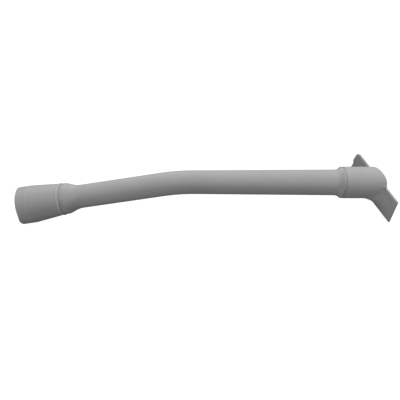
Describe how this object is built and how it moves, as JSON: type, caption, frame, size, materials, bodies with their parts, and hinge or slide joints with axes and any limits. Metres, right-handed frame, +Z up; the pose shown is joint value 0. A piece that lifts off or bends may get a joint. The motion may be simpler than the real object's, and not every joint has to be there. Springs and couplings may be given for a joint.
{
  "type": "oil dipstick tube",
  "caption": "Bent grey plastic guide tube for an engine oil dipstick, with a flared lower socket and an upper sleeve that ends in an oblique two-winged plate.",
  "frame": {"origin": "on the table, under the centre of the bounding box of the tube lying as it rests", "axes": "+Z up from the table; +X level, from the lower socket's mouth towards the upper sleeve and its plate; +Y to the side of the plate's far wing"},
  "size_m": [0.1894, 0.0348, 0.0309],
  "materials": {
    "plastic": "satin"
  },
  "bodies": {
    "root": {"dipstick_tube": "plastic"}
  },
  "joints": []
}
